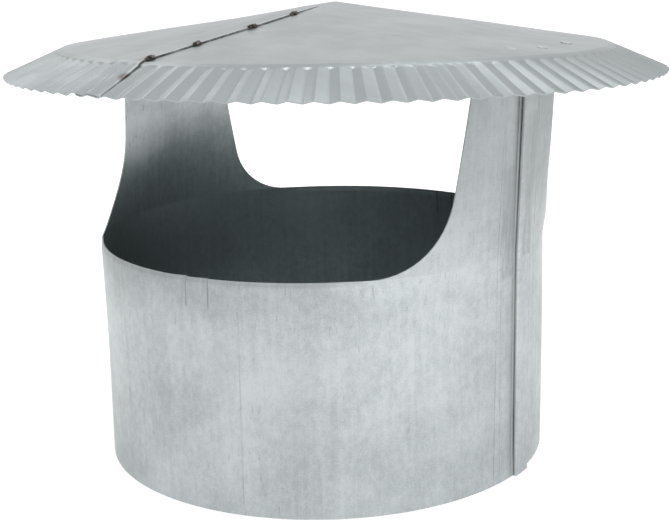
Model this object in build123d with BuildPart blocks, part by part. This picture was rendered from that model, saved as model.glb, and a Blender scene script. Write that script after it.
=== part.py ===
from build123d import *
import os
from math import cos, degrees, radians, sin, sqrt

# Chimney rain cap: a rolled sheet collar with two legs, under a conical hood with a crimped skirt.
# Millimetres. The origin is the centre of the collar's lower rim, on the flue axis, and +Z is up.
# +X points to the leg that holds the collar's lock seam. The two windows face -Y and +Y.
# Angles are in degrees about the flue axis, from +X towards +Y, unless they are the hood's.

# Sheet and flue
flue_diameter = 152.4            # outside of the nominal six inch pipe that the collar slides over
slip_clearance = 0.5             # radial, between the pipe and the collar's bore
sheet = 0.4                      # galvanised sheet of both pieces
lap_gap = 0.05                   # between layers that are pressed onto each other

# Collar ring and its lock seam
ring_height = 76.2               # lower rim to the lower edge of the windows
seam_start = 2.1                 # angle of the folded edge that shows as a dark line
seam_width = 8.1                 # folded edge to the top of the step, along the wall
seam_step = 2.6                  # length of the step back down to the wall
hook_overlap = 6.6               # how far the two hooks reach into each other
seam_flattening = 0.01           # the pressed seam is this much flatter than the round wall

# Legs, as lengths along the wall. They go from round at the windows' sills to flat under the
# hood, where their tabs are bent over on a straight line.
flat_height = 145.0              # above the collar's lower rim, where the legs would be flat
flat_inset = 1.35                # from the round wall in to the flat one, at a leg's middle
half_width_rise = 30.0           # above the windows' sills, where the half widths are given
seam_leg_half_width = 27.4
seam_leg_top_half_width = 22.0   # at the height of the hood's apex
plain_leg_half_width = 24.2      # on the side of the lap's window
plain_leg_top_half_width = 22.4
plain_leg_rear_half_width = 31.4
plain_leg_rear_top_half_width = 22.0
window_corner = 26.0             # radius of the windows' corners beside the seam leg
plain_corner = 32.0              # and beside the plain leg
plain_rear_corner = 20.0
lean = 0.05                      # sideways lean of the legs per unit of height
lean_angle = 39.0                # direction of that lean
slit_width = 0.4
slit_depth = 8.2
slit_angles = (-84.3, -78.2, 87.1, 92.1)

# Tabs at the tops of the legs
tab_half_width = 22.9
tab_edge_margin = 3.2            # from the outer edge of a tab in to the hood's fold

# Hood. It sits a little askew on the legs. Its sizes are those of its upper face.
apex_height = 154.3              # above the collar's lower rim
cone_rise = 13.9                 # fold to apex
skirt_run = 19.6                 # fold to rim, outwards
skirt_drop = 8.2                 # fold to rim, down
hood_overhang = 34.9             # collar's outside to the hood's rim
hood_offset = 7.0                # flue axis to the hood's axis, level with the fold
hood_offset_angle = 65.6
hood_tilt = 1.46
hood_tilt_angle = 100.3          # the side that is lowest
hood_turn = 1.2                  # about its own axis
flute_count = 100
flute_phase = 1.7                # angle of the first crest about the hood's axis
flute_depth = 0.8                # crest to trough at the rim, square to the skirt
flute_start_depth = 0.05         # at the upper end of the flutes
flute_run_in = 3.0               # length over which the flutes deepen
flute_run_in_depth = 0.6         # at the end of that length
plain_band = 1.5                 # uncrimped band below the fold

# The hood's radial lap lies along its -Y radius, with the upper layer on the -X side
lap_width = 9.0                  # overlap of the two cut edges
lap_end_gap = 0.3                # between the lower layer's edge and the step over it
joggle_width = 1.0               # step of the upper layer down to the level of the cone
lap_inner_radius = 2.5           # the lap ends just short of the apex

# Welds. Spot welds join the tabs to the hood, and tacks hold the edge of the hood's lap.
# A spot's place is its distance in from the hood's fold and its angle about the hood's axis.
# A tack's place is its distance from the hood's axis, as a share of the fold's radius.
spot_radius = 1.8
spot_proud = 0.15
spot_chamfer = 0.1
seam_leg_spot_places = ((9.9, -13.7), (8.6, -4.3), (10.1, 9.4))
plain_leg_spot_places = ((8.6, 171.0), (7.4, 182.0), (8.6, 193.0))
tack_radius = 1.0
tack_length = 4.0
tack_chamfer = 0.4
tack_places = (0.241, 0.474, 0.751, 0.973)

# Derived sizes
bore_radius = flue_diameter / 2 + slip_clearance
wall_middle = bore_radius + sheet / 2
outer_radius = bore_radius + sheet
layer_pitch = sheet + lap_gap
lean_x = lean * cos(radians(lean_angle))
lean_y = lean * sin(radians(lean_angle))
rim_radius = outer_radius + hood_overhang
fold_radius = rim_radius - skirt_run
fold_height = apex_height - cone_rise
cone_slope = cone_rise / fold_radius
skirt_slope = skirt_drop / skirt_run
skirt_sine = skirt_slope / sqrt(1 + skirt_slope**2)
skirt_cosine = 1 / sqrt(1 + skirt_slope**2)
cone_cosine = 1 / sqrt(1 + cone_slope**2)
drop = sheet / cone_cosine       # the sheet's thickness measured upright
past = 12.0                      # how far cutting shapes run past what they cut
overrun = 3.0                    # how far a form runs past an edge that is trimmed later


def polar(radius, angle):
    """The (x, y) offset of a point at a radius and an angle."""
    return (radius * cos(radians(angle)), radius * sin(radians(angle)))


def along_wall(length):
    """The angle that a length along the collar's wall takes up."""
    return degrees(length / wall_middle)


# Collar section: the sheet runs once round the flue, and its two edges hook into each other.
# From outside inwards the seam's four layers are the cover, the base's hook, the cover's hook
# and the base, each one layer_pitch further in.
cover_radius = wall_middle + 3 * layer_pitch
base_hook_radius = wall_middle + 2 * layer_pitch
cover_hook_radius = wall_middle + layer_pitch
cover_fold_angle = seam_start + along_wall(layer_pitch + sheet / 2)
base_fold_angle = cover_fold_angle + along_wall(hook_overlap)
step_top_angle = seam_start + along_wall(seam_width)
step_foot_angle = step_top_angle + along_wall(seam_step)


def pressed(radius, start_angle, end_angle, flattening=seam_flattening):
    """One face of a layer of the seam, pressed a little flatter than the wall."""
    ThreePointArc(
        polar(radius, start_angle),
        polar(radius - flattening, (start_angle + end_angle) / 2),
        polar(radius, end_angle),
    )


def sheet_side(half):
    """One face of the folded strip: its line lies half a thickness from the sheet's middle."""
    pressed(base_hook_radius + half, cover_fold_angle, base_fold_angle)
    base_fold = polar(cover_hook_radius, base_fold_angle)
    CenterArc(base_fold, layer_pitch + half, base_fold_angle, 180)
    CenterArc((0, 0), wall_middle - half, step_foot_angle, 360 + base_fold_angle - step_foot_angle)
    Line(polar(wall_middle - half, step_foot_angle), polar(cover_radius - half, step_top_angle))
    pressed(cover_radius - half, cover_fold_angle, step_top_angle)
    cover_fold = polar(base_hook_radius, cover_fold_angle)
    CenterArc(cover_fold, layer_pitch - half, cover_fold_angle + 180, 180)
    pressed(cover_hook_radius + half, cover_fold_angle, base_fold_angle)


with BuildSketch() as ring_section:
    with BuildLine():
        sheet_side(sheet / 2)
        sheet_side(-sheet / 2)
        Line(
            polar(base_hook_radius + sheet / 2, cover_fold_angle),
            polar(base_hook_radius - sheet / 2, cover_fold_angle),
        )
        Line(
            polar(cover_hook_radius + sheet / 2, base_fold_angle),
            polar(cover_hook_radius - sheet / 2, base_fold_angle),
        )
    make_face()

# Legs: each layer runs from its round section at the sills to a flat one. Places along it are
# given by their angle on the round wall. The legs first run up past the hood, and are cut off
# below it later.
leg_height = apex_height - ring_height
flat_rise = flat_height - ring_height
leg_end = 44.0                   # angle at which the legs' sheet ends, inside the windows


def layer_place(flat, out, angle):
    """A place on a leg's section, a distance out from the middle of the wall."""
    if flat:
        return (wall_middle - flat_inset + out, radians(angle) * wall_middle)
    return polar(wall_middle + out, angle)


def layer_face(flat, out, start_angle, end_angle, flattening=seam_flattening):
    """One face of a leg's section."""
    if flat:
        Line(layer_place(True, out, start_angle), layer_place(True, out, end_angle))
    else:
        pressed(wall_middle + out, start_angle, end_angle, flattening)


def layer_end(flat, out, angle):
    """The cut edge of a leg's section, across the sheet."""
    Line(layer_place(flat, out + sheet / 2, angle), layer_place(flat, out - sheet / 2, angle))


def cover_side(flat, half):
    """One face of the sheet from the seam's inner hook over the cover to the leg's +Y end."""
    layer_face(flat, layer_pitch + half, cover_fold_angle, base_fold_angle)
    fold_middle = layer_place(flat, 2 * layer_pitch, cover_fold_angle)
    fold_facing = 0 if flat else cover_fold_angle
    CenterArc(fold_middle, layer_pitch - half, fold_facing + 180, 180)
    layer_face(flat, 3 * layer_pitch - half, cover_fold_angle, step_top_angle)
    Line(
        layer_place(flat, 3 * layer_pitch - half, step_top_angle),
        layer_place(flat, -half, step_foot_angle),
    )
    layer_face(flat, -half, step_foot_angle, leg_end, 0)


def base_side(flat, half):
    """One face of the sheet from the leg's -Y end under the seam to its outer hook."""
    layer_face(flat, -half, -leg_end, base_fold_angle, 0)
    fold_middle = layer_place(flat, layer_pitch, base_fold_angle)
    fold_facing = 0 if flat else base_fold_angle
    CenterArc(fold_middle, layer_pitch + half, fold_facing, 180)
    layer_face(flat, 2 * layer_pitch + half, cover_fold_angle, base_fold_angle)


def cover_layer(flat):
    """The outline of the seam leg's sheet on the cover's side."""
    cover_side(flat, sheet / 2)
    cover_side(flat, -sheet / 2)
    layer_end(flat, layer_pitch, base_fold_angle)
    layer_end(flat, 0, leg_end)


def base_layer(flat):
    """The outline of the seam leg's sheet on the base's side."""
    base_side(flat, sheet / 2)
    base_side(flat, -sheet / 2)
    layer_end(flat, 2 * layer_pitch, cover_fold_angle)
    layer_end(flat, 0, -leg_end)


def plain_layer(flat):
    """The outline of the plain leg's sheet."""
    layer_face(flat, sheet / 2, -leg_end, leg_end, 0)
    layer_face(flat, -sheet / 2, -leg_end, leg_end, 0)
    layer_end(flat, 0, -leg_end)
    layer_end(flat, 0, leg_end)


def leg_wall(draw_layer, leg_angle):
    """The sheet of a leg, lofted from its round section to its flat one."""
    outlines = []
    for flat, rise in ((False, 0), (True, flat_rise)):
        section = Plane(
            origin=(lean_x * rise, lean_y * rise, ring_height + rise),
            x_dir=(*polar(1, leg_angle), 0),
            z_dir=(0, 0, 1),
        )
        with BuildLine(section) as outline:
            draw_layer(flat)
        outlines.append(outline.wire())
    return Solid.make_loft(outlines, ruled=True)


def window_edge(leg_angle, side, half_width, top_half_width, corner):
    """Outline of the sheet cut away beside one edge of a leg, square to the wall at that edge."""
    facing = leg_angle + side * along_wall(half_width)
    outward = polar(1, facing)
    sideways = lean_y * cos(radians(leg_angle)) - lean_x * sin(radians(leg_angle))
    taper = side * (half_width - top_half_width)
    top_edge = sideways * leg_height - taper
    sill_edge = taper * half_width_rise / (leg_height - half_width_rise)
    far = side * (outer_radius + past)
    wall_plane = Plane(
        origin=(0, 0, ring_height),
        x_dir=(-outward[1], outward[0], 0),
        z_dir=(outward[0], outward[1], 0),
    )
    with BuildSketch(wall_plane) as outline:
        with BuildLine():
            FilletPolyline(
                (top_edge, leg_height),
                (sill_edge, 0),
                (far, 0),
                radius=corner,
            )
            Polyline((top_edge, leg_height), (far, leg_height), (far, 0))
        make_face()
    return outline.sketch


# The hood and all that follows it are made in the hood's own frame, and placed by it at the end.
# That frame's origin is on the hood's axis, level with the fold, and its -Y side has the lap.
hood_frame = Plane(
    origin=(*polar(hood_offset, hood_offset_angle), fold_height),
    x_dir=(*polar(1, hood_turn), 0),
    z_dir=(*polar(sin(radians(hood_tilt)), hood_tilt_angle), cos(radians(hood_tilt))),
)
hood_place = hood_frame.location


def hood_profile(corners):
    """A closed profile out from the hood's axis, from (radius, height) corners."""
    with BuildSketch(Plane.XZ) as profile:
        with BuildLine():
            Polyline(corners, close=True)
        make_face()
    return profile.sketch


def cone_height(radius):
    """Height of the cone's upper face over the fold, at a distance from the hood's axis."""
    return cone_rise - cone_slope * radius


# Flutes: each is a trough between two sharp crests, an arc in plan
flute_pitch = 360 / flute_count
flute_start_radius = fold_radius + plain_band * skirt_cosine
flute_start_height = -plain_band * skirt_sine
run_in_radius = flute_start_radius + flute_run_in * skirt_cosine
run_in_height = flute_start_height - flute_run_in * skirt_sine
overrun_radius = rim_radius + overrun
overrun_height = -skirt_drop - skirt_slope * overrun


def scallops(radius, height, depth):
    """A level wire of one arc per flute: crests at the radius, troughs depth below the skirt."""
    with BuildLine(Plane.XY.offset(height)) as outline:
        for flute in range(flute_count):
            crest = flute_phase + flute * flute_pitch
            ThreePointArc(
                polar(radius, crest),
                polar(radius - depth / skirt_sine, crest + flute_pitch / 2),
                polar(radius, crest + flute_pitch),
            )
    return outline.wire()


# The space under the hood's upper face, with flutes that run past the rim
skirt_form = Solid.make_loft(
    [
        scallops(flute_start_radius, flute_start_height, flute_start_depth),
        scallops(run_in_radius, run_in_height, flute_run_in_depth),
        scallops(overrun_radius, overrun_height, flute_depth),
    ],
    ruled=True,
)
cone_form = hood_profile(
    [
        (0, cone_rise),
        (fold_radius, 0),
        (flute_start_radius, flute_start_height),
        (0, flute_start_height),
    ]
)
with BuildPart() as under_face:
    revolve(cone_form, axis=Axis.Z)
    add(skirt_form)

# The lap, in plan from the hood's axis: the upper layer, its step down and the lower layer's end
lap_far = rim_radius + past
lap_foot = overrun_height - past
lap_rise = cone_rise + past - lap_foot


def lap_strip(near, far, start):
    """Plan of a radial strip between two distances to the -X side of the seam, from start outwards."""
    with BuildSketch(Plane.XY.offset(lap_foot)) as outline:
        with Locations((-near, -start)):
            Rectangle(far - near, lap_far - start, align=(Align.MAX, Align.MAX))
    return outline.sketch


lap_step = lap_width + joggle_width
upper_layer_top = lap_gap + drop

with BuildPart() as lap_block:
    extrude(lap_strip(0, lap_step, lap_inner_radius), amount=lap_rise)
    with Locations((0, 0, upper_layer_top)):
        add(under_face.part, mode=Mode.INTERSECT)

with BuildPart() as upper_layer:
    add(lap_block.part)
    with Locations((0, 0, lap_gap)):
        add(under_face.part, mode=Mode.SUBTRACT)

with BuildPart() as joggle:
    extrude(lap_strip(lap_width, lap_step, lap_inner_radius), amount=lap_rise)
    add(lap_block.part, mode=Mode.INTERSECT)
    with Locations((0, 0, -drop)):
        add(under_face.part, mode=Mode.SUBTRACT)

# Trims the skirt square to its face at the rim
rim_trim = hood_profile(
    [
        (rim_radius - past * skirt_sine, -skirt_drop - past * skirt_cosine),
        (rim_radius + past * skirt_sine, -skirt_drop + past * skirt_cosine),
        (rim_radius + 2 * past, -skirt_drop + past * skirt_cosine),
        (rim_radius + 2 * past, -skirt_drop - past * skirt_cosine),
    ]
)


def cone_plane(place):
    """The plane that lies on the cone's upper face at a spot's place, facing out."""
    inset, angle = place
    radius = fold_radius - inset
    east, north = polar(radius, angle)
    downhill = polar(cone_slope, angle)
    return Plane(
        origin=(east, north, cone_height(radius)),
        z_dir=(downhill[0], downhill[1], 1),
    )


def spot_outlines(places, raised):
    """The round outlines of spot welds, each on its own plane raised off the cone."""
    outlines = []
    for place in places:
        with BuildSketch(cone_plane(place).offset(raised)) as outline:
            Circle(spot_radius)
        outlines.append(outline.sketch)
    return outlines


spot_depth = 2 * sheet + lap_gap + spot_proud

with BuildPart() as spot_holes:
    for outline in spot_outlines(seam_leg_spot_places + plain_leg_spot_places, spot_proud):
        extrude(outline, amount=-spot_depth - overrun)

with BuildPart() as hood:
    add(under_face.part)
    with Locations((0, 0, -drop)):
        add(under_face.part, mode=Mode.SUBTRACT)
    extrude(
        lap_strip(lap_width - lap_end_gap, lap_width, lap_inner_radius),
        amount=lap_rise,
        mode=Mode.SUBTRACT,
    )
    add(joggle.part)
    add(upper_layer.part)
    revolve(rim_trim, axis=Axis.Z, mode=Mode.SUBTRACT)
    add(spot_holes.part, mode=Mode.SUBTRACT)

# Tabs: flat flanges under the cone, from the middle of a leg's wall out to just inside the fold
tab_end_radius = fold_radius - tab_edge_margin
tab_start_radius = fold_radius / 2
tab_below = 2 * drop + lap_gap
tab_rise = fold_height - ring_height
tab_face = hood_profile(
    [
        (tab_start_radius, cone_height(tab_start_radius) - tab_below),
        (tab_end_radius, cone_height(tab_end_radius) - tab_below),
        (tab_end_radius, cone_rise),
        (tab_start_radius, cone_rise),
    ]
)
with BuildSketch(Plane.XY.offset(ring_height)) as tab_plan:
    with Locations((lean_x * tab_rise, lean_y * tab_rise)):
        Rectangle(2 * (fold_radius + past), 2 * tab_half_width)
        Rectangle(2 * (wall_middle - flat_inset), 2 * tab_half_width, mode=Mode.SUBTRACT)

with BuildPart() as tab_ring:
    revolve(tab_face, axis=Axis.Z)

with BuildPart() as tabs:
    extrude(tab_plan.sketch, amount=leg_height)
    with Locations(hood_place):
        add(tab_ring.part, mode=Mode.INTERSECT)

above_tabs_face = hood_profile(
    [
        (0, cone_height(0) - drop - lap_gap),
        (fold_radius + past, cone_height(fold_radius + past) - drop - lap_gap),
        (fold_radius + past, cone_rise + past),
        (0, cone_rise + past),
    ]
)
with BuildPart() as above_tabs:
    revolve(above_tabs_face, axis=Axis.Z)

window_outlines = (
    window_edge(0, -1, seam_leg_half_width, seam_leg_top_half_width, window_corner),
    window_edge(0, 1, seam_leg_half_width, seam_leg_top_half_width, window_corner),
    window_edge(180, 1, plain_leg_half_width, plain_leg_top_half_width, plain_corner),
    window_edge(180, -1, plain_leg_rear_half_width, plain_leg_rear_top_half_width, plain_rear_corner),
)

with BuildPart() as collar:
    extrude(ring_section.sketch, amount=ring_height)
    add(leg_wall(cover_layer, 0))
    add(leg_wall(base_layer, 0))
    add(leg_wall(plain_layer, 180))
    for window_outline in window_outlines:
        extrude(window_outline, amount=outer_radius + 2 * past, mode=Mode.SUBTRACT)
    add(tabs.part)
    with Locations(hood_place):
        add(above_tabs.part, mode=Mode.SUBTRACT)
        add(spot_holes.part, mode=Mode.SUBTRACT)
    for slit_angle in slit_angles:
        with BuildSketch(Plane.XY.offset(ring_height)):
            with PolarLocations(wall_middle, 1, start_angle=slit_angle):
                Rectangle(past, slit_width)
        extrude(amount=-slit_depth, mode=Mode.SUBTRACT)


def spot_welds(places):
    """Round slugs that fill the holes through the hood and a tab, a little proud of both."""
    with BuildPart() as spots:
        for outline in spot_outlines(places, spot_proud):
            extrude(outline, amount=-spot_depth - spot_proud)
        chamfer(spots.edges().filter_by(GeomType.CIRCLE), spot_chamfer)
    return spots.part.moved(hood_place)


seam_leg_spots = spot_welds(seam_leg_spot_places)
plain_leg_spots = spot_welds(plain_leg_spot_places)

# Tacks: short beads along the edge of the hood's upper layer
with BuildPart() as lap_tacks:
    for share in tack_places:
        bead_start = share * fold_radius - tack_length / 2
        bead_plane = Plane(
            origin=(0, -bead_start, cone_height(bead_start) + upper_layer_top),
            z_dir=(0, -1, -cone_slope),
        )
        with BuildSketch(bead_plane):
            Circle(tack_radius)
        extrude(amount=tack_length)
    chamfer(lap_tacks.edges().filter_by(GeomType.CIRCLE), tack_chamfer)
    add(under_face.part, mode=Mode.SUBTRACT)
    add(lap_block.part, mode=Mode.SUBTRACT)

placed_hood = hood.part.moved(hood_place)
placed_lap_tacks = lap_tacks.part.moved(hood_place)

collar.part.label = "collar"
placed_hood.label = "hood"
seam_leg_spots.label = "seam_leg_spots"
plain_leg_spots.label = "plain_leg_spots"
placed_lap_tacks.label = "lap_tacks"

os.makedirs("parts", exist_ok=True)
export_step(collar.part, "parts/collar.step")
export_step(placed_hood, "parts/hood.step")
export_step(seam_leg_spots, "parts/seam_leg_spots.step")
export_step(plain_leg_spots, "parts/plain_leg_spots.step")
export_step(placed_lap_tacks, "parts/lap_tacks.step")
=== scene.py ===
from functools import partial, reduce
from math import atan2, cos, degrees, hypot, pi, radians, sin, sqrt

import bpy
import numpy as np
from mathutils import Matrix, Vector


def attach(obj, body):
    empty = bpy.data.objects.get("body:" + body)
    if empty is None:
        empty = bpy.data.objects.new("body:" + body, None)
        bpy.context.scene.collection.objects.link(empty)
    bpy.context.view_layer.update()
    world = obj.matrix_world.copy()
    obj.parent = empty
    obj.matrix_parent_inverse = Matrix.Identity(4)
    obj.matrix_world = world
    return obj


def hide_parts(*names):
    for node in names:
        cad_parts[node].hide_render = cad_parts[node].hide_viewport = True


# Looks of the chimney rain cap. Lengths are millimetres, like the part's own sizes, and become
# metres where a mesh is made. Materials, lamps and camera say which units they use instead.
# Angles are degrees.

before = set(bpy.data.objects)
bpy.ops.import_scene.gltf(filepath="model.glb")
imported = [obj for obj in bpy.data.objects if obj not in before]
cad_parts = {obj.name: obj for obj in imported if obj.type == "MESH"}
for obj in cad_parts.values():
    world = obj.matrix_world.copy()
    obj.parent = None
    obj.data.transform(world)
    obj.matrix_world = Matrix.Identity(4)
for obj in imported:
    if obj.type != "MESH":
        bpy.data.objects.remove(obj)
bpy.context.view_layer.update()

MM = 0.001                     # in metres
UNIT = 100                     # the materials' unit of length, in millimetres
WELD_REACH = 0.01              # points closer than this are joined

# Sizes of the collar
SHEET = 0.4
LAYER_PITCH = 0.45             # between the middles of two layers that lie on each other
WALL = 76.9                    # radius of the middle of the collar's sheet
RING = 76.2                    # height of the windows' sills
SEAM_START = 2.1               # angle of the lock seam's folded edge
SEAM_WIDTH = 8.1               # from that edge to the step down to the wall
SEAM_STEP = 2.6                # length of that step
HOOK_OVERLAP = 6.6             # between the seam's two folds
LEG_EDGES = (                  # half width above the corner, at the apex's height, corner radius
    (27.4, 22.0, 26.0),        # seam leg, +Y side
    (31.4, 22.0, 20.0),        # plain leg, +Y side
    (24.2, 22.4, 32.0),        # plain leg, -Y side
    (27.4, 22.0, 26.0),        # seam leg, -Y side
)
HALF_RISE = 30.0               # height above the sills of the first half width
FLAT_INSET = 1.35              # how far in a leg's middle is where the leg is flat
FLAT_RISE = 145.0 - RING       # height above the sills where it is flat
LEAN = 0.05                    # how far the legs lean to one side for each unit of rise
LEAN_ANGLE = 39.0
BEND = 1.2                     # radius of the bend between a leg and its tab
UNDER_GAP = 0.1                # between a tab and the hood's sheet
SLIT_HALF = 0.03               # the slits are pressed nearly shut
SLIT_DEPTH = 8.2
SLIT_FLOOR = RING - SLIT_DEPTH
SLITS = (                      # angle, depth and side of the sheet that is pressed in beside it
    (-84.3, 0.9, -1),
    (-78.2, 0.5, -1),
    (87.1, 0.12, 1),
    (92.1, 0.1, 1),
)

# Sizes of the hood
APEX = 154.3                   # height above the collar's lower rim, without the tilt
CONE_RISE = 13.9
SKIRT_RUN = 19.6
SKIRT_DROP = 8.2
RIM_R = 112.0
HOOD_OFFSET, HOOD_OFFSET_ANGLE = 7.0, 65.6
HOOD_TILT, HOOD_TILT_ANGLE = 1.46, 100.3
HOOD_TURN = 1.2
FLUTES = 100
FLUTE_PHASE = 1.7
FOLD_Z = APEX - CONE_RISE
FOLD_R = RIM_R - SKIRT_RUN
TAB_END = FOLD_R - 3.2         # distance from the hood's axis at which the tabs end
CONE_SLOPE = CONE_RISE / FOLD_R
CONE_STRETCH = sqrt(1 + CONE_SLOPE**2)      # length up the cone for each unit of radius
SKIRT_LENGTH = hypot(SKIRT_RUN, SKIRT_DROP)
SKIRT_COS = SKIRT_RUN / SKIRT_LENGTH
SKIRT_SIN = SKIRT_DROP / SKIRT_LENGTH


def hood_matrix():
    """The hood's own frame, with its origin on its axis, level with the fold."""
    tilt, down = radians(HOOD_TILT), radians(HOOD_TILT_ANGLE)
    axis = Vector((sin(tilt) * cos(down), sin(tilt) * sin(down), cos(tilt)))
    x_dir = Vector((cos(radians(HOOD_TURN)), sin(radians(HOOD_TURN)), 0))
    x_dir = (x_dir - axis * x_dir.dot(axis)).normalized()
    turn = Matrix((x_dir, axis.cross(x_dir), axis)).transposed()
    centre = radians(HOOD_OFFSET_ANGLE)
    place = Vector((HOOD_OFFSET * cos(centre), HOOD_OFFSET * sin(centre), FOLD_Z))
    return Matrix.Translation(place) @ turn.to_4x4()


HOOD = hood_matrix()
HOOD_BACK = HOOD.inverted()


def smooth(low, high, x):
    """0 at low, 1 at high and a soft step between, for numbers and arrays."""
    t = np.clip((np.asarray(x, float) - low) / (high - low), 0, 1)
    return t * t * (3 - 2 * t)


def bell(x, width):
    """1 at 0, falling softly to either side."""
    return np.exp(-((np.asarray(x, float) / width) ** 2))


def waves(x, y, seed, scale, count=6):
    """A smooth random field of about unit height, from a few seeded sines."""
    rng = np.random.default_rng(seed)
    height = 0
    for _ in range(count):
        turn = rng.uniform(0, 2 * pi)
        k = 2 * pi / scale * rng.uniform(0.5, 1.5)
        height = height + np.sin(k * (cos(turn) * x + sin(turn) * y) + rng.uniform(0, 2 * pi))
    return height / sqrt(count / 2)


def add_piece(name, vertices, faces, replaced, uv=None):
    """A piece from points in millimetres, which rides on the one body and replaces a node."""
    mesh = bpy.data.meshes.new(name)
    mesh.from_pydata([tuple(MM * float(c) for c in p) for p in vertices], [], faces)
    mesh.update()
    if uv is not None:
        layer = mesh.uv_layers.new(name="sheet")
        corners = np.empty(len(mesh.loops), int)
        mesh.loops.foreach_get("vertex_index", corners)
        layer.data.foreach_set("uv", np.asarray(uv, float)[corners].ravel())
    piece = bpy.data.objects.new(name, mesh)
    bpy.context.collection.objects.link(piece)
    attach(piece, "root")
    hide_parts(replaced)
    return piece


def weld(piece):
    """Joins points that lie on each other, once the piece is baked."""
    piece.modifiers.new("weld", "WELD").merge_threshold = WELD_REACH * MM


def bake(piece, sharp):
    """Applies a piece's modifiers, and shades it smooth up to an angle."""
    bpy.context.view_layer.update()
    graph = bpy.context.evaluated_depsgraph_get()
    mesh = bpy.data.meshes.new_from_object(piece.evaluated_get(graph))
    piece.modifiers.clear()
    piece.data = mesh
    mesh.polygons.foreach_set("use_smooth", [True] * len(mesh.polygons))
    mesh.set_sharp_from_angle(angle=radians(sharp))


def thicken(piece, finishes, sharp):
    """Gives a piece that was made as the middle of its sheet the sheet's thickness.

    A face with one finish outside has the next one inside."""
    for finish in finishes:
        piece.data.materials.append(finish)
    solid = piece.modifiers.new("sheet", "SOLIDIFY")
    solid.thickness = SHEET * MM
    solid.offset = 0
    solid.use_even_offset = True
    solid.material_offset = 1
    bake(piece, sharp)


# Collar: the rolled strip, whose columns run up the ring, and on the legs up to the tabs

COVER_R = WALL + 3 * LAYER_PITCH
BASE_HOOK_R = WALL + 2 * LAYER_PITCH
COVER_HOOK_R = WALL + LAYER_PITCH


def wall_angle(length):
    return degrees(length / WALL)


def wall_length(angle):
    return radians(angle) * WALL


COVER_FOLD = SEAM_START + wall_angle(LAYER_PITCH + SHEET / 2)
BASE_FOLD = COVER_FOLD + wall_angle(HOOK_OVERLAP)
STEP_TOP = SEAM_START + wall_angle(SEAM_WIDTH)
STEP_FOOT = STEP_TOP + wall_angle(SEAM_STEP)
HOOK_GAP = 0.3                 # angle between a hook's end and the fold that it reaches into


def edge_slope(edge):
    """How far a leg's edge draws in for each unit of rise."""
    half, top_half, _ = edge
    return (half - top_half) / (APEX - RING - HALF_RISE)


def foot_length(edge):
    """Along the wall from a leg's middle to where its window's corner meets the sill."""
    half, _, corner = edge
    slope = edge_slope(edge)
    return half + slope * HALF_RISE + corner * (sqrt(1 + slope**2) - slope)


FEET = [wall_angle(foot_length(edge)) for edge in LEG_EDGES]
WINDOWS = ((FEET[0], 180 - FEET[1]), (180 + FEET[2], 360 - FEET[3]))     # between these angles
# Columns between these two angles stay with the lock seam where the seam leg draws in
FIXED_LEFT = SEAM_START - 0.6
FIXED_RIGHT = STEP_FOOT

HOOK_COLUMNS = 5
FOLD_COLUMNS = 6
COVER_COLUMNS = 8
UNDER_COLUMNS = 8
WINDOW_COLUMNS = 131
PLAIN_LEG_COLUMNS = 47         # on each side of its middle
SEAM_LEG_COLUMNS = (34, 48)    # past the seam and before it
LOWEST_ROW = 0.01              # keeps the thickened rim inside the CAD's box
RING_ROWS = [                  # heights, closer together near the sills
    *np.linspace(LOWEST_ROW, 64, 27), 66.0, SLIT_FLOOR,
    69.5, 71, 72.3, 73.4, 74.2, 74.8, 75.3, 75.7, 76.0, RING,
]
CORNER_ROWS = 15
LEG_ROWS = 30
BEND_ROWS = 5
TAB_ROWS = 5
COLLAR_SHARP = 35              # angle from which an edge looks sharp

DENTS = (                      # depth, seed, scale, how fast they change with the height
    (0.12, 11, 110, 1.0),
    (0.05, 12, 28, 0.3),
)
SMOOTH_RIM = 12                # height above the lower rim at which the dents are in full
SILL_TURN = 0.45               # how far the sills' edge is turned in
SILL_EDGE = 1.5                # height of the part that is turned in
SILL_END = 8                   # length over which that starts at a window's ends
PRESSED_WIDTH = 3.0            # of the sheet beside a slit
PRESSED_BELOW = 2              # how far it reaches past the slit's lower end


def cone_under(x, y):
    """Height of the middle of a sheet that lies under the cone, at a place seen from above."""
    z = FOLD_Z
    # The hood is tilted, so its height over a place is closed in on in a few steps
    for _ in range(6):
        local = HOOD_BACK @ Vector((x, y, z))
        level = CONE_RISE - CONE_SLOPE * hypot(local.x, local.y) - 1.5 * SHEET - UNDER_GAP
        z += level - local.z
    return z


def between(first, last, count):
    """Evenly spaced values between two others, without those two."""
    return np.linspace(first, last, count + 2)[1:-1]


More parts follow.
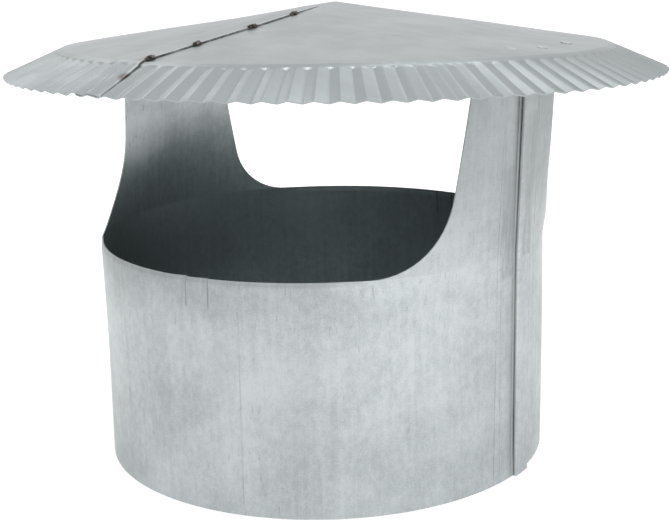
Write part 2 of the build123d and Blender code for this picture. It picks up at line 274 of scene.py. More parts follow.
def strip_columns():
    """The rolled strip in order, from one hook to the other, as (x, y, angle, zone)."""
    columns = []

    def arc(radius, angles, zone):
        for angle in angles:
            turn = radians(angle)
            columns.append((radius * cos(turn), radius * sin(turn), angle, zone))

    def fold(radius, at, turns, angle):
        """Half a turn around a point on the seam, at one place on the flat sheet."""
        for turn in turns:
            x = radius * cos(radians(at)) + LAYER_PITCH * cos(radians(turn))
            y = radius * sin(radians(at)) + LAYER_PITCH * sin(radians(turn))
            columns.append((x, y, angle, "hook"))

    def window(first, last):
        angles = list(between(first, last, WINDOW_COLUMNS))
        half = wall_angle(SLIT_HALF)
        for slit, *_ in SLITS:
            at = slit % 360
            if first < at < last:
                # Columns too near a slit give way to those of its two sides
                angles = [a for a in angles if abs(a - at) > 4 * half]
                angles += [at - half, at + half]
        arc(WALL, sorted(angles), "window")

    arc(COVER_HOOK_R, np.linspace(BASE_FOLD - HOOK_GAP, COVER_FOLD, HOOK_COLUMNS), "hook")
    turns = between(COVER_FOLD + 180, COVER_FOLD + 360, FOLD_COLUMNS)
    fold(BASE_HOOK_R, COVER_FOLD, turns, COVER_FOLD)
    arc(COVER_R, np.linspace(COVER_FOLD, STEP_TOP, COVER_COLUMNS), "hook")
    arc(WALL, np.linspace(STEP_FOOT, FEET[0], SEAM_LEG_COLUMNS[0]), "leg")
    window(*WINDOWS[0])
    arc(WALL, np.linspace(180 - FEET[1], 180, PLAIN_LEG_COLUMNS), "leg")
    arc(WALL, np.linspace(180, 180 + FEET[2], PLAIN_LEG_COLUMNS)[1:], "leg")
    window(*WINDOWS[1])
    arc(WALL, np.linspace(360 - FEET[3], 360 + FIXED_LEFT, SEAM_LEG_COLUMNS[1]), "leg")
    arc(WALL, np.linspace(360 + FIXED_LEFT, 360 + BASE_FOLD, UNDER_COLUMNS + 1)[1:], "under")
    turns = between(BASE_FOLD + 180, BASE_FOLD, FOLD_COLUMNS)
    fold(COVER_HOOK_R, BASE_FOLD, turns, 360 + BASE_FOLD)
    hook = np.linspace(360 + BASE_FOLD, 360 + COVER_FOLD + HOOK_GAP, HOOK_COLUMNS)
    arc(BASE_HOOK_R, hook, "hook")
    return columns


def dent(angle, height):
    """How far the collar's sheet stands out from its round form at a place."""
    out = 0
    for depth, seed, scale, stretch in DENTS:
        out = out + depth * waves(wall_length(angle), height * stretch, seed, scale)
    out = out * smooth(0, SMOOTH_RIM, height)
    # The sills are turned in a little along their edge
    from_sill = RING - height
    into_window = max(min(angle % 360 - first, last - angle % 360) for first, last in WINDOWS)
    turned = smooth(0, SILL_END, wall_length(into_window)) * bell(from_sill, SILL_EDGE)
    out = out - SILL_TURN * turned
    # The sheet beside the slits is pressed in on one side
    for slit, depth, side in SLITS:
        away = wall_length((angle - slit + 180) % 360 - 180) * side
        if away > 0:
            pressed = bell(away, PRESSED_WIDTH) * smooth(SLIT_DEPTH + PRESSED_BELOW, 0, from_sill)
            out = out - depth * pressed
    return out


def edge_length(edge, rise):
    """Along the wall from a leg's middle to its edge, at a height above the sills."""
    half, _, corner = edge
    slope = edge_slope(edge)
    tangent = corner * (sqrt(1 + slope**2) - slope) / sqrt(1 + slope**2)
    if rise >= tangent:
        return half - slope * (rise - HALF_RISE)
    return foot_length(edge) - sqrt(max(corner**2 - (corner - rise) ** 2, 0))


def leg_angle(angle, zone, rise):
    """Where a column of a leg is at a height, as the leg's edges draw in."""
    if zone in ("hook", "under"):
        return angle
    if 90 < angle < 270:
        number = 1 if angle < 180 else 2
        half, foot = edge_length(LEG_EDGES[number], rise), wall_length(FEET[number])
        return 180 + (angle - 180) * half / foot
    number = 0 if angle <= 90 else 3
    half, foot = edge_length(LEG_EDGES[number], rise), wall_length(FEET[number])
    if number == 0:
        fixed = wall_length(FIXED_RIGHT)
        away = (wall_length(angle) - fixed) * (half - fixed) / (foot - fixed)
        return FIXED_RIGHT + wall_angle(away)
    fixed = wall_length(FIXED_LEFT)
    away = (wall_length(angle - 360) - fixed) * (half + fixed) / (foot + fixed)
    return 360 + FIXED_LEFT + wall_angle(away)


def leg_point(angle, offset, rise):
    """A place on a leg, which goes from round to flat, at an angle on the round wall."""
    side = -1 if 90 < angle % 360 < 270 else 1
    turn = radians((angle - (180 if side < 0 else 0) + 180) % 360 - 180)
    flat = rise / FLAT_RISE
    x = (WALL + offset) * cos(turn) * (1 - flat) + (WALL - FLAT_INSET + offset) * flat
    y = (WALL + offset) * sin(turn) * (1 - flat) + WALL * turn * flat
    lean = LEAN * rise
    return side * x + lean * cos(radians(LEAN_ANGLE)), side * y + lean * sin(radians(LEAN_ANGLE))


def corner_rise(angle, zone):
    """Height above the sills up to which a column's rows are spaced for the windows' corners."""
    if zone == "leg" and 90 < angle < 270:
        across = (angle - 180 + FEET[1]) / (FEET[1] + FEET[2])
        return LEG_EDGES[1][2] + (LEG_EDGES[2][2] - LEG_EDGES[1][2]) * across
    return LEG_EDGES[0][2]


def ring_column(x, y, angle):
    """Points up the ring, each with its angle on the flat sheet."""
    turn = atan2(y, x)
    points = []
    for z in RING_ROWS:
        r = hypot(x, y) + dent(angle, z)
        points.append((r * cos(turn), r * sin(turn), z, angle))
    return points


def tab_column(x, y, z, angle):
    """Points around the bend at a leg's top and out along its tab, under the cone."""
    side = 1 if x > 0 else -1
    points = []
    for turn in np.linspace(0, pi / 2, BEND_ROWS + 1)[1:]:
        points.append((x + side * BEND * (1 - cos(turn)), y, z + BEND * sin(turn), angle))
    centre = HOOD.translation
    end_x = centre.x + side * sqrt(TAB_END**2 - (y - centre.y) ** 2)
    for tab_x in np.linspace(points[-1][0], end_x, TAB_ROWS + 1)[1:]:
        points.append((tab_x, y, cone_under(tab_x, y), angle))
    return points


def leg_column(x, y, angle, zone):
    """Points up a leg and, outside the lock seam, around its bend and out along its tab."""
    offset = hypot(x, y) - WALL
    turn = (degrees(atan2(y, x)) - angle + 180) % 360 - 180
    corner = corner_rise(angle, zone)
    top = leg_point(leg_angle(angle, zone, FLAT_RISE) + turn, offset, FLAT_RISE)
    bend_rise = cone_under(*top) - BEND - RING
    rises = [
        *(corner * (1 - np.cos(np.linspace(0, pi / 2, CORNER_ROWS + 1)[1:]))),
        *np.linspace(corner, bend_rise, LEG_ROWS + 1)[1:],
    ]
    points = []
    for rise in rises:
        here = leg_angle(angle, zone, rise)
        x, y = leg_point(here + turn, offset + dent(here, RING + rise), rise)
        points.append((x, y, RING + rise, here))
    if zone in ("leg", "under"):
        points += tab_column(*points[-1])
    return points


def starts_slit(angle, zone):
    """Whether a slit lies between a column and the next one."""
    half = wall_angle(SLIT_HALF)
    return zone == "window" and any(abs(angle - (slit % 360 - half)) < 1e-6 for slit, *_ in SLITS)


def make_collar(outside, inside, crevice):
    columns = strip_columns()
    points, grid = [], []
    for x, y, angle, zone in columns:
        column = ring_column(x, y, angle)
        if zone != "window":
            column += leg_column(x, y, angle, zone)
        grid.append(range(len(points), len(points) + len(column)))
        points += column

    faces, face_columns = [], []
    slit_rows = range(RING_ROWS.index(SLIT_FLOOR), len(RING_ROWS) - 1)
    for number, (left, right) in enumerate(zip(grid[:-1], grid[1:])):
        slit = starts_slit(*columns[number][2:])
        for row in range(min(len(left), len(right)) - 1):
            if slit and row in slit_rows:
                continue
            faces.append((left[row], right[row], right[row + 1], left[row + 1]))
            face_columns.append(number)
    uv = [(wall_length(angle) / UNIT, z / UNIT) for _, _, z, angle in points]
    places = [point[:3] for point in points]
    collar = add_piece("collar_sheet", places, faces, "collar", uv)

    # The cover's fold and the wall that it meets have a finish of their own
    first_under = [zone for *_, zone in columns].index("under")
    near_fold = {
        *range(HOOK_COLUMNS - 1, HOOK_COLUMNS + FOLD_COLUMNS // 2),
        *range(first_under - 1, first_under + 2),
    }
    finishes = (outside, inside, crevice, inside)
    for face, number in zip(collar.data.polygons, face_columns):
        if number in near_fold:
            face.material_index = finishes.index(crevice)
    thicken(collar, finishes, COLLAR_SHARP)


# Hood: a cone and a crimped skirt from one slit disc, whose ends lap over the -Y radius

HOOD_SEAM = -90.0              # angle of the lap's line, where the upper layer ends
LAP_WIDTH = 9.0
WIDEST_LAP = 40.0              # angle that the lap takes up at most, near the apex
LAP_RAMP = 5.0                 # length over which the upper layer comes down past the lower one
LAP_RISE = 0.45
LAP_START, LAP_FULL = 4, 24    # radii between which the upper layer rises off the lower one
RIM_SPILL = 2.0                # how far past the lap's line the upper layer ends at the rim
SPILL_SHARE = 0.02             # last share of the turn, whose columns spread over the spill
FLUTE_START, FLUTE_FORMED = 1.5, 2.9        # distances down the skirt
FORMED_DEPTH = 0.5
RIM_DEEPER = 0.35              # how much deeper than that the flutes are at the rim
TROUGH_SHARE = 7 / 12          # of a flute's pitch, from the crest to the trough
HOOD_DENT = 0.25               # height of the hood's dents, in full between these two radii
DENT_FULL, DENT_FADES = 40, 80
DENT_START = 5                 # radius at which they start

CONE_ROWS = [                  # distances along the sheet, up the cone from the fold
    from_apex - FOLD_R * CONE_STRETCH
    for from_apex in (0.6, 2, 4, 7, 11, 16, 22, 29, 37, 46, 56, 66, 76, 84, 88.5, 91, 92.3)
] + [-0.5]
RIM_TRIM = 0.12                # keeps the thickened rim inside the CAD's box
SKIRT_ROWS = [                 # distances down the skirt from the fold
    0, 0.4, 0.9, 1.4, 1.8, 2.1, 2.4, 2.7, 3.1, *np.linspace(4.3, SKIRT_LENGTH - RIM_TRIM, 13)
]
COLUMNS_PER_FLUTE = 12
CONE_STEP = 4                  # skirt columns for each column of the cone
LAP_COLUMNS = 10
HOOD_SHARP = 9                 # angle from which an edge looks sharp


def flute_depth(s):
    """Depth of the troughs at a distance down the skirt from the fold."""
    deeper = np.clip((s - FLUTE_FORMED) / (SKIRT_LENGTH - FLUTE_FORMED), 0, 1)
    return FORMED_DEPTH * smooth(FLUTE_START, FLUTE_FORMED, s) + RIM_DEEPER * deeper


def flute_form(share):
    """Depth across one flute, from 0 at its crests: a wide face down and a narrow one up."""
    return share / TROUGH_SHARE if share < TROUGH_SHARE else (1 - share) / (1 - TROUGH_SHARE)


def hood_radius(s):
    """Distance from the hood's axis, s along the sheet from the fold, up the cone below 0."""
    return FOLD_R + s / CONE_STRETCH if s <= 0 else FOLD_R + s * SKIRT_COS


def hood_point(s, angle, raised):
    """The middle of the hood's sheet, s along it from the fold."""
    r = hood_radius(s)
    if s <= 0:
        z = CONE_RISE - CONE_SLOPE * r
    else:
        share = ((angle - FLUTE_PHASE) % (360 / FLUTES)) / (360 / FLUTES)
        depth = float(flute_depth(s)) * flute_form(share)
        r -= depth * SKIRT_SIN
        z = -s * SKIRT_SIN - depth * SKIRT_COS
    x, y = r * cos(radians(angle)), r * sin(radians(angle))
    dented = HOOD_DENT * waves(x, y, seed=21, scale=120)
    dented = dented * smooth(DENT_START, DENT_FULL, r) * smooth(RIM_R, DENT_FADES, r)
    return HOOD @ Vector((x, y, z + dented + raised - SHEET / 2))


def row_angles(s, columns):
    """Angles of a row's points: the lap's lower layer, then once round to the upper one's end."""
    r = hood_radius(s)
    under = min(degrees(LAP_WIDTH / r), WIDEST_LAP)
    spill = degrees(RIM_SPILL * float(smooth(0, SKIRT_LENGTH, s)) / r)
    shares = np.linspace(0, 1, columns + 1)
    spread = np.clip((shares - 1 + SPILL_SHARE) / SPILL_SHARE, 0, 1)
    below = np.linspace(HOOD_SEAM - under, HOOD_SEAM, LAP_COLUMNS + 1)[:-1]
    return [*below, *(HOOD_SEAM + 360 * shares + spill * spread)]


def hood_row(s, columns):
    """Points of a row, raised where they lie on the lap's lower layer."""
    r = hood_radius(s)
    points = []
    for angle in row_angles(s, columns):
        from_end = radians(HOOD_SEAM + 360 - angle) * r
        raised = LAP_RISE * smooth(LAP_WIDTH + LAP_RAMP, LAP_WIDTH, from_end)
        raised = raised * smooth(LAP_START, LAP_FULL, r)
        points.append(hood_point(s, angle, float(raised)))
    return points


def make_hood(outside, underside):
    vertices, faces = [], []

    def add_rows(rows, columns):
        """Adds rows of points and the faces between them, and gives the first and last rows."""
        grid = []
        for s in rows:
            row = hood_row(s, columns)
            grid.append(range(len(vertices), len(vertices) + len(row)))
            vertices.extend(row)
        for inner, outer in zip(grid[:-1], grid[1:]):
            for k in range(len(inner) - 1):
                faces.append((inner[k], outer[k], outer[k + 1], inner[k + 1]))
        return grid[0], grid[-1]

    skirt_columns = FLUTES * COLUMNS_PER_FLUTE
    cone_columns = skirt_columns // CONE_STEP
    _, inner = add_rows(CONE_ROWS, cone_columns)
    outer, _ = add_rows(SKIRT_ROWS, skirt_columns)
    # The cone's last row meets the fold, where the skirt has more columns
    for k in range(LAP_COLUMNS):
        faces.append((inner[k], outer[k], outer[k + 1], inner[k + 1]))
    for k in range(cone_columns):
        first = LAP_COLUMNS + k * CONE_STEP
        fine = outer[first : first + CONE_STEP + 1]
        faces.append((inner[LAP_COLUMNS + k], *fine, inner[LAP_COLUMNS + k + 1]))

    flat = [HOOD_BACK @ vertex for vertex in vertices]
    uv = [(place.x / UNIT, place.y / UNIT) for place in flat]
    hood = add_piece("hood_sheet", vertices, faces, "hood", uv)
    weld(hood)
    thicken(hood, (outside, underside), HOOD_SHARP)


# Tacks: small burnt lumps along the lap

TACKS = (                      # distance from the axis, half length, half width, height
    (22.3, 1.7, 0.75, 0.55),
    (43.8, 2.1, 0.8, 0.6),
    (69.4, 1.6, 0.8, 0.65),
    (90.0, 1.9, 0.9, 0.7),
)
TACK_RINGS, TACK_SIDES = 9, 14
TACK_ROUGH = 0.22              # size of the lumps' random bumps, as a share of their radius
TACK_SHIFT = 0.1               # off the lap's line, away from the upper layer
TACK_SINK = 0.12               # how deep a lump sits in the sheet
TACK_LOWER = 0.35              # share of the lap's rise at which its half off the upper layer sits
TACK_SHARP = 60


def make_tacks(finish):
    vertices, faces = [], []
    rng = np.random.default_rng(5)
    for radius, length, width, height in TACKS:
        base = len(vertices)
        for ring in range(TACK_RINGS + 1):
            polar = pi / 2 * ring / TACK_RINGS
            for side in range(TACK_SIDES):
                turn = 2 * pi * side / TACK_SIDES
                bump = 1 + TACK_ROUGH * rng.standard_normal() * sin(polar) ** 0.5
                x = TACK_SHIFT + width * sin(polar) * cos(turn) * bump
                y = -radius + length * sin(polar) * sin(turn) * bump
                sheet_top = CONE_RISE - CONE_SLOPE * hypot(x, y)
                sheet_top += LAP_RISE if x < 0 else LAP_RISE * TACK_LOWER
                z = sheet_top + height * cos(polar) * bump - TACK_SINK
                vertices.append(HOOD @ Vector((x, y, z)))
        for ring in range(TACK_RINGS):
            for side in range(TACK_SIDES):
                k, after = base + ring * TACK_SIDES, (side + 1) % TACK_SIDES
                low = k + TACK_SIDES
                faces.append((k + side, low + side, low + after, k + after))
        last = base + TACK_RINGS * TACK_SIDES
        faces.append([last + side for side in reversed(range(TACK_SIDES))])
    tacks = add_piece("tack_lumps", vertices, faces, "lap_tacks")
    weld(tacks)
    bake(tacks, TACK_SHARP)
    tacks.data.materials.append(finish)


# Materials. Places on the sheets are in units of 100 mm, other places and bumps in metres.

FULL_TURN = wall_length(360) / UNIT
SLIT_PLACES = [wall_length(slit % 360) / UNIT for slit, *_ in SLITS]
ABOVE_SILL = 0.77
# A mark is its place at the lower rim, slope, half width, lowest and highest place and depth.
# Painted shade: each slit is a dark line, with a soft shade beside it.
SLIT_SHADE_MARKS = [(place, 0.0, 0.0022, SLIT_FLOOR / UNIT, ABOVE_SILL, 0.6) for place in SLIT_PLACES]
SLIT_SHADE_MARKS += [(place - 0.009, 0.0, 0.008, 0.69, ABOVE_SILL, 0.14) for place in SLIT_PLACES]
SCRATCH_AND_SHADE_MARKS = [
    # Painted shade: two lines beside the lock seam
    (FULL_TURN - 0.085, 0.02, 0.0016, 0.0, 1.3, 0.35),
    (FULL_TURN - 0.052, 0.0, 0.0012, 0.0, 1.3, 0.3),
    # Scratches up the seam leg
    (0.215, -0.055, 0.0022, 0.6, 1.3, 0.5),
    (0.240, -0.06, 0.0015, 0.7, 1.3, 0.3),
    # A long scratch on the ring
    (FULL_TURN - 0.955, 0.01, 0.0016, 0.05, 0.66, 0.24),
    # Painted shade: soft bands on both sides of the lock seam's fold
    (FULL_TURN - 0.018, 0.0, 0.022, 0.70, 1.04, 0.40),
    (0.084, 0.0, 0.022, 0.76, 1.20, 0.40),
]
LEG_SHADE_FROM, LEG_SHADE_TO = 0.72, 1.10         # heights between which painted shade darkens the legs
INSIDE_LIT_FROM, INSIDE_LIT_TO = 0.94, 1.20       # heights between which painted light brightens the inside
WINDOW_SOFT = 0.06             # width over which a sill's shade ends at its window's ends
SILL_SHADES = (                # from this height, to this one, depth
    (0.60, 0.755, 0.20),
    (0.738, 0.752, 0.42),
)
SCORCHES = (                   # distance from the axis, radius, strength
    (0.223, 0.035, 0.55),
    (0.438, 0.045, 0.6),
    (0.694, 0.035, 0.5),
    (0.900, 0.045, 0.7),
    (1.010, 0.030, 0.9),
)
BUMP = 0.0002                  # height of the finest relief

# Colours, each the dark and the light end of a finish
COLLAR_COLOURS = (0.35, 0.375, 0.382), (0.475, 0.505, 0.515)
# Painted shade: the inside is a much darker copy of the collar's finish
INSIDE_SHADED_COLOURS = (0.11, 0.134, 0.138), (0.16, 0.192, 0.198)
# Painted light: the inside's lighter colours above the windows' corners
INSIDE_LIT_COLOURS = (0.36, 0.39, 0.395), (0.46, 0.49, 0.50)
HOOD_COLOURS = (0.318, 0.345, 0.351), (0.354, 0.383, 0.389)
UNDERSIDE_COLOURS = (0.36, 0.39, 0.395), (0.41, 0.44, 0.445)
CREVICE_COLOURS = (0.42, 0.445, 0.45), (0.54, 0.565, 0.57)
SPOT_COLOURS = (0.34, 0.37, 0.38), (0.47, 0.50, 0.51)
TACK_COLOURS = (0.035, 0.028, 0.024), (0.30, 0.27, 0.25)
# Painted highlight on the lap's edge and painted shade in its gap
EDGE_HIGHLIGHT_COLOUR = (0.78, 0.8, 0.8)
GAP_SHADE_COLOUR = (0.075, 0.07, 0.068)
SCORCH_COLOUR = (0.12, 0.095, 0.08)


def darker(colour, share):
    return tuple(share * c for c in colour)


class Tree:
    """The nodes of a material or a world, with short calls for the few kinds used here."""

    def __init__(self, owner):
        owner.use_nodes = True
        self.owner = owner
        self.nodes = owner.node_tree.nodes
        self.links = owner.node_tree.links

    def put(self, value, socket):
        """Links a socket to another one, or sets its value."""
        if isinstance(value, bpy.types.NodeSocket):
            self.links.new(value, socket)
        else:
            socket.default_value = value

    def add(self, kind, inputs):
        """A new node, with values or links for the inputs named."""
        made = self.nodes.new("ShaderNode" + kind)
        for name, value in inputs.items():
            self.put(value, made.inputs[name])
        return made

    def math(self, operation, first, second=0.0):
        made = self.add("Math", {0: first, 1: second})
        made.operation = operation
        return made.outputs[0]

    def plus(self, *values):
        return reduce(partial(self.math, "ADD"), values)

    def times(self, *values):
        return reduce(partial(self.math, "MULTIPLY"), values)

    def largest(self, *values):
        return reduce(partial(self.math, "MAXIMUM"), values)

    def weighted(self, *parts):
        """The sum of values, each times its weight."""
        return self.plus(*[self.times(value, weight) for value, weight in parts])

    def noise(self, vector, scale=1.0, detail=3.0, rough=0.5):
        inputs = {"Vector": vector, "Scale": scale, "Detail": detail, "Roughness": rough}
        return self.add("TexNoise", inputs).outputs["Fac"]

    def scaled(self, vector, x, y):
        return self.add("Mapping", {"Vector": vector, "Scale": (x, y, 1.0)}).outputs["Vector"]

    def step(self, value, low, high, to_low=0.0, to_high=1.0):
        """A soft step from one value, at low, to another one at high."""
        limits = {"From Min": low, "From Max": high, "To Min": to_low, "To Max": to_high}
        made = self.add("MapRange", {"Value": value, **limits})
        made.interpolation_type = "SMOOTHSTEP"
        return made.outputs["Result"]

    def band(self, value, middle, half, soft):
        """1 within half of the middle, and 0 past a soft edge."""
        away = self.math("ABSOLUTE", self.math("SUBTRACT", value, middle))
        return self.step(away, half, half + soft, 1.0, 0.0)

    def mix(self, share, first, second):
        made = self.nodes.new("ShaderNodeMix")
        made.data_type = "RGBA"
        self.put(share, made.inputs["Factor"])
        for value, socket in ((first, made.inputs["A"]), (second, made.inputs["B"])):
            self.put((*value, 1) if isinstance(value, tuple) else value, socket)
        return made.outputs["Result"]

    def sheet_place(self):
        """The place on the sheet, as its vector and its two coordinates."""
        made = self.nodes.new("ShaderNodeUVMap")
        made.uv_map = "sheet"
        split = self.add("SeparateXYZ", {"Vector": made.outputs["UV"]})
        return made.outputs["UV"], split.outputs["X"], split.outputs["Y"]

    def object_place(self):
        return self.nodes.new("ShaderNodeTexCoord").outputs["Object"]

    def finish(self, colour, roughness, relief, strength, bump=BUMP, metallic=1.0, edge=1.0):
        """Sets the shader and gives the material. The edge is the metal's share of grazing light."""
        raised = self.add("Bump", {"Height": relief, "Strength": strength, "Distance": bump})
        shader = self.nodes["Principled BSDF"]
        self.put(colour, shader.inputs["Base Color"])
        self.put(roughness, shader.inputs["Roughness"])
        self.put(metallic, shader.inputs["Metallic"])
        self.put((edge, edge, edge, 1), shader.inputs["Specular Tint"])
        self.put(raised.outputs["Normal"], shader.inputs["Normal"])
        return self.owner


def new_material(name):
    return Tree(bpy.data.materials.new(name))


def painted_light_above(tree, colour, up, cloud, tone):
    """Painted light: the inside is painted lighter above the windows' corners."""
    lit_share = tree.step(tree.plus(up, tree.times(cloud, 0.1)), INSIDE_LIT_FROM, INSIDE_LIT_TO)
    return tree.mix(lit_share, colour, tree.mix(tree.step(tone, 0.38, 0.62), *INSIDE_LIT_COLOURS))


def rubs(tree, place):
    """Where the sheet is rubbed: short scratches in patches, and a few longer ones all over."""
    scratches = tree.noise(tree.scaled(place, 105, 17), detail=2.0)
    longer = tree.noise(tree.scaled(place, 80, 9), detail=2.0)
    patches = tree.step(tree.noise(place, scale=2.1, detail=1.0), 0.52, 0.62)
    return tree.largest(
        tree.times(tree.step(scratches, 0.64, 0.70), patches),
        tree.times(tree.step(longer, 0.68, 0.73), 0.7),
    )


def lines(tree, place, along, up, marks):
    """How dark each place is from the marks' lines, which are frayed along their length."""
    drawn = []
    for where, slope, half, low, high, depth in marks:
        middle = tree.plus(tree.times(up, slope), where)
        line = tree.band(tree.math("SUBTRACT", along, middle), 0.0, half, half)
        within = tree.band(up, (low + high) / 2, (high - low) / 2, 0.02)
        drawn.append(tree.times(line, within, depth))
    fray = tree.noise(tree.scaled(place, 60, 6), detail=2.0)
    return tree.times(tree.largest(*drawn), tree.step(fray, 0.35, 0.6, 0.45, 1.0))


def sill_shade(tree, along, up):
    """How dark the ring is towards the windows' sills and at their turned-in edge."""
    shades = [tree.times(tree.step(up, low, high), depth) for low, high, depth in SILL_SHADES]
    open_parts = []
    for window in WINDOWS:
        first, last = (wall_length(angle) / UNIT for angle in window)
        half = (last - first) / 2 - WINDOW_SOFT
        open_parts.append(tree.band(along, (last + first) / 2, half, WINDOW_SOFT))
    return tree.times(tree.largest(*shades), tree.largest(*open_parts))


def collar_steel(name, dark, light, outer):
    """Dull galvanised sheet: clouds, upright streaks, grain and painted shade at the slits; outside
    also scratches and painted shade by the lock seam, at the sills and up the legs, inside painted
    light.
    """
    tree = new_material(name)
    place, along, up = tree.sheet_place()
    cloud = tree.noise(place, scale=3.2, detail=5.0, rough=0.6)
    streak = tree.noise(tree.scaled(place, 34, 1.3), detail=4.0, rough=0.65)
    spangle = tree.noise(tree.scaled(place, 46, 30), detail=3.0, rough=0.7)
    grain = tree.noise(place, scale=210, detail=2.0, rough=0.6)
    tone = tree.weighted((cloud, 0.40), (streak, 0.16), (spangle, 0.22), (grain, 0.22))
    colour = tree.mix(tree.step(tone, 0.39, 0.61), dark, light)
    # Inside: painted light above the windows' corners
    if not outer:
        colour = painted_light_above(tree, colour, up, cloud, tone)
    colour = tree.mix(tree.times(rubs(tree, place), 0.45), colour, darker(dark, 0.68))
    # Dark lines: painted shade at the slits and, outside, by the lock seam, with the scratches
    marks = lines(tree, place, along, up, SLIT_SHADE_MARKS + (SCRATCH_AND_SHADE_MARKS if outer else []))
    colour = tree.mix(marks, colour, darker(dark, 0.42))
    if outer:
        colour = tree.mix(sill_shade(tree, along, up), colour, darker(dark, 0.6))
        # Painted shade: the legs' upper parts are darker
        leg_shade = tree.step(up, LEG_SHADE_FROM, LEG_SHADE_TO, 0.0, 0.62)
        colour = tree.mix(leg_shade, colour, darker(dark, 0.72))
    roughness = tree.step(tone, 0.35, 0.65, 0.52, 0.40)
    relief = tree.weighted((grain, 0.35), (streak, 0.5), (marks, -1.6))
    return tree.finish(colour, roughness, relief, strength=0.35)


def lap_line(tree, place, radius, away):
    """Painted shade in the gap along the lap's line and a painted highlight on the edge beside it.
    """
    near = tree.step(radius, 0.05, 0.12)
    ragged = tree.step(tree.noise(tree.scaled(place, 10, 16), rough=0.6), 0.35, 0.62)
    fold = FOLD_R / UNIT
    fainter = tree.step(radius, fold, fold + 0.03, 1.0, 0.3)
    line = tree.band(away, middle=0.002, half=0.0028, soft=0.0022)
    gap_shade = tree.times(line, near, ragged, fainter)
    edge = tree.times(tree.band(away, middle=-0.006, half=0.002, soft=0.003), near)
    return gap_shade, edge, ragged


def scorched(tree, radius, away, ragged):
    """How burnt the sheet is around the tacks and where the lap meets the rim."""
    burns = []
    for spot, size, strength in SCORCHES:
        off = tree.math("SUBTRACT", radius, spot)
        squared = tree.plus(tree.math("POWER", off, 2.0), tree.math("POWER", away, 2.0))
        burns.append(tree.times(tree.step(squared, 0.0, size * size, 1.0, 0.0), strength))
    return tree.times(tree.largest(*burns), tree.step(ragged, 0.0, 1.0, 0.5, 1.0))


def hood_steel(name, dark, light, outer):
    """The hood's sheet, smoother than the collar's, burnt along the lap on its upper face, with
    painted shade in the lap's gap and a painted highlight on its edge.
    """
    tree = new_material(name)
    place, across, down = tree.sheet_place()
    cloud = tree.noise(place, scale=4.0, detail=5.0, rough=0.6)
    smear = tree.noise(tree.scaled(place, 3, 24), detail=4.0, rough=0.6)
    grain = tree.noise(place, scale=230, detail=2.0, rough=0.6)
    tone = tree.weighted((cloud, 0.58), (smear, 0.14), (grain, 0.28))
    colour = tree.mix(tree.step(tone, 0.36, 0.64), dark, light)
    specks = tree.step(tree.noise(place, scale=60, detail=1.0), 0.74, 0.78)
    colour = tree.mix(tree.times(specks, 0.35), colour, darker(dark, 0.6))
    relief = [(grain, 0.3), (cloud, 0.4)]
    if outer:
        radius = tree.times(down, -1.0)
        spill = tree.step(radius, FOLD_R / UNIT, RIM_R / UNIT, 0.0, RIM_SPILL / UNIT)
        away = tree.math("SUBTRACT", across, spill)
        gap_shade, edge, ragged = lap_line(tree, place, radius, away)
        # Painted highlight on the upper layer's edge, then painted shade in the lap's gap
        colour = tree.mix(tree.times(edge, 0.35), colour, EDGE_HIGHLIGHT_COLOUR)
        colour = tree.mix(tree.times(gap_shade, 0.85), colour, GAP_SHADE_COLOUR)
        colour = tree.mix(scorched(tree, radius, away, ragged), colour, SCORCH_COLOUR)
        relief.append((gap_shade, -1.5))
    roughness = tree.step(tone, 0.35, 0.65, 0.42, 0.30)
    return tree.finish(colour, roughness, tree.weighted(*relief), strength=0.3, edge=0.88)


def crevice_steel():
    """The sheet where the lock seam's fold meets the wall, dulled by what has settled there."""
    tree = new_material("seam_crevice")
    place, *_ = tree.sheet_place()
    grain = tree.noise(tree.scaled(place, 90, 7), detail=4.0, rough=0.6)
    colour = tree.mix(tree.step(grain, 0.3, 0.7), *CREVICE_COLOURS)
    return tree.finish(colour, 0.7, grain, strength=0.3, metallic=0.15)


def spot_steel():
    tree = new_material("pressed_spots")
    grain = tree.noise(tree.object_place(), scale=1400, detail=3.0, rough=0.6)
    colour = tree.mix(tree.step(grain, 0.3, 0.7), *SPOT_COLOURS)
    return tree.finish(colour, tree.step(grain, 0.3, 0.7, 0.5, 0.38), grain, strength=0.3)


def burnt_steel():
    tree = new_material("burnt_tacks")
    grain = tree.noise(tree.object_place(), scale=900, detail=4.0, rough=0.65)
    colour = tree.mix(tree.step(grain, 0.42, 0.72), *TACK_COLOURS)
    roughness = tree.step(grain, 0.3, 0.7, 0.75, 0.5)
    return tree.finish(colour, roughness, grain, strength=0.8, bump=2 * BUMP, metallic=0.7)


# Stage, lamps and camera, in metres

FLOOR_HALF = 4.0
FLOOR_DROP = 0.0002            # keeps the floor clear of the collar's lower rim
FLOOR_COLOUR = (0.9, 0.9, 0.9, 1)
FLOOR_ROUGHNESS = 0.9
FLOOR_GLOW = 0.5               # added where the floor is seen, so that it is white
WORLD_LEVEL = 0.6              # of the world's light on matt things
LIT_PLACE = (0, 0, 0.08)       # which the lamps point at
LAMPS = (                      # name, place, size, watts
    ("key", (-0.41, -1.88, 1.6), (1.2, 1.2), 7),
    ("fill", (1.64, -0.6, 0.5), (1.9, 1.2), 10.5),
    ("left", (-1.40, 0.50, 1.22), (0.6, 0.6), 1.1),
    ("right", (-0.14, 0.79, 1.63), (0.5, 0.5), 1.2),
    ("rear", (-1.11, 1.37, 1.07), (1.4, 1.0), 0.9),
    ("spark", (0.38, 0.65, 1.54), (0.3, 0.3), 1.2),
    ("side", (1.24, 1.11, 0.42), (1.2, 1.0), 3.5),
    ("top", (0.05, -0.35, 1.6), (0.4, 0.4), 3.0),
)

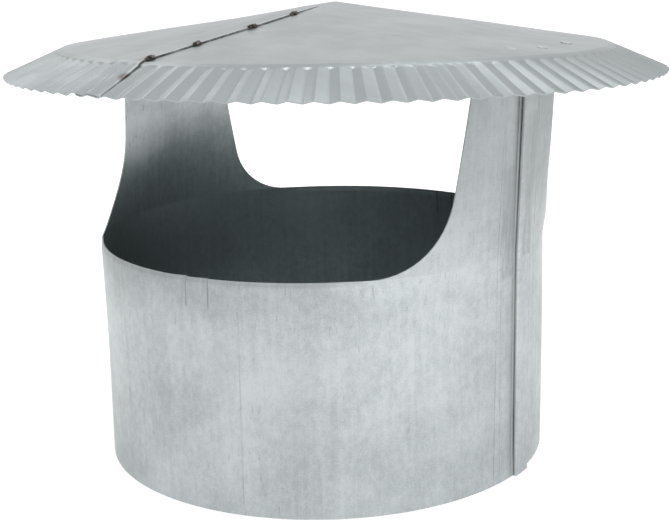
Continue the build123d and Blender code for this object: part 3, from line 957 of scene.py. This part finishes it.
# The camera, fitted to the photograph, whose size, centre and focal length are in pixels
PHOTO_WIDTH, PHOTO_HEIGHT = 670, 520
CENTRE_X, CENTRE_Y = 325.9, 263.5
FOCAL_LENGTH = 1352.0
SENSOR_WIDTH = 36              # of Blender's own camera, in millimetres
CAMERA_PLACE = (0.2943, -0.3616, 0.1805)
CAMERA_AHEAD, CAMERA_PITCH, CAMERA_ROLL = 129, 14.16, 1.47
CLIP_NEAR, CLIP_FAR = 0.01, 20


def seen_straight(tree):
    """1 for a ray from the camera, a reflection or glass, and 0 for light on matt things."""
    path = tree.nodes.new("ShaderNodeLightPath")
    kinds = ("Camera", "Glossy", "Transmission")
    return tree.largest(*[path.outputs[f"Is {kind} Ray"] for kind in kinds])


def make_floor():
    mesh = bpy.data.meshes.new("floor")
    corners = [(-1, -1), (1, -1), (1, 1), (-1, 1)]
    mesh.from_pydata([(FLOOR_HALF * x, FLOOR_HALF * y, 0) for x, y in corners], [], [(0, 1, 2, 3)])
    stage = bpy.data.objects.new("floor", mesh)
    bpy.context.collection.objects.link(stage)
    stage.location.z = -FLOOR_DROP

    tree = new_material("stage_floor")
    shader = tree.nodes["Principled BSDF"]
    tree.put(FLOOR_COLOUR, shader.inputs["Base Color"])
    tree.put(FLOOR_ROUGHNESS, shader.inputs["Roughness"])
    glow = tree.add("Emission", {"Strength": tree.times(seen_straight(tree), FLOOR_GLOW)})
    both = tree.add("AddShader", {0: shader.outputs[0], 1: glow.outputs[0]})
    tree.put(both.outputs[0], tree.nodes["Material Output"].inputs["Surface"])
    mesh.materials.append(tree.owner)


def make_world():
    world = bpy.data.worlds.new("studio")
    bpy.context.scene.world = world
    tree = Tree(world)
    background = tree.nodes["Background"]
    tree.put((1, 1, 1, 1), background.inputs["Color"])
    strength = tree.step(seen_straight(tree), 0.0, 1.0, WORLD_LEVEL, 1.0)
    tree.put(strength, background.inputs["Strength"])


def add_lamp(name, place, size, watts):
    data = bpy.data.lights.new(name, "AREA")
    data.shape = "RECTANGLE"
    data.size, data.size_y = size
    data.energy = watts
    lamp = bpy.data.objects.new(name, data)
    bpy.context.collection.objects.link(lamp)
    lamp.location = place
    towards = Vector(LIT_PLACE) - Vector(place)
    lamp.rotation_euler = towards.to_track_quat("-Z", "Y").to_euler()


def make_camera():
    data = bpy.data.cameras.new("camera")
    data.lens = FOCAL_LENGTH / PHOTO_WIDTH * SENSOR_WIDTH
    data.shift_x = (PHOTO_WIDTH / 2 - CENTRE_X) / PHOTO_WIDTH
    data.shift_y = (CENTRE_Y - PHOTO_HEIGHT / 2) / PHOTO_WIDTH
    data.clip_start, data.clip_end = CLIP_NEAR, CLIP_FAR
    camera = bpy.data.objects.new("camera", data)
    bpy.context.collection.objects.link(camera)
    ahead, pitch, roll = radians(CAMERA_AHEAD), radians(CAMERA_PITCH), radians(CAMERA_ROLL)
    level = Vector((cos(ahead), sin(ahead), 0))
    up = Vector((0, 0, 1))
    right = level.cross(up)
    forward = cos(pitch) * level - sin(pitch) * up
    tilted_up = sin(pitch) * level + cos(pitch) * up
    axis_x = cos(roll) * right - sin(roll) * tilted_up
    axis_y = sin(roll) * right + cos(roll) * tilted_up
    turn = Matrix((axis_x, axis_y, -forward)).transposed()
    camera.matrix_world = Matrix.Translation(CAMERA_PLACE) @ turn.to_4x4()
    bpy.context.scene.camera = camera


make_collar(
    collar_steel("galvanised_collar", *COLLAR_COLOURS, outer=True),
    # The inside is a darker copy of the finish: painted shade
    collar_steel("galvanised_inside_shaded", *INSIDE_SHADED_COLOURS, outer=False),
    crevice_steel(),
)
make_hood(
    hood_steel("galvanised_hood", *HOOD_COLOURS, outer=True),
    hood_steel("galvanised_underside", *UNDERSIDE_COLOURS, outer=False),
)
make_tacks(burnt_steel())
spot_finish = spot_steel()
for node in ("seam_leg_spots", "plain_leg_spots"):
    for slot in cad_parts[node].material_slots:
        slot.material = spot_finish

make_floor()
make_world()
for lamp in LAMPS:
    add_lamp(*lamp)
make_camera()

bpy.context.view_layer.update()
scene = bpy.context.scene
scene.view_settings.view_transform = "Standard"
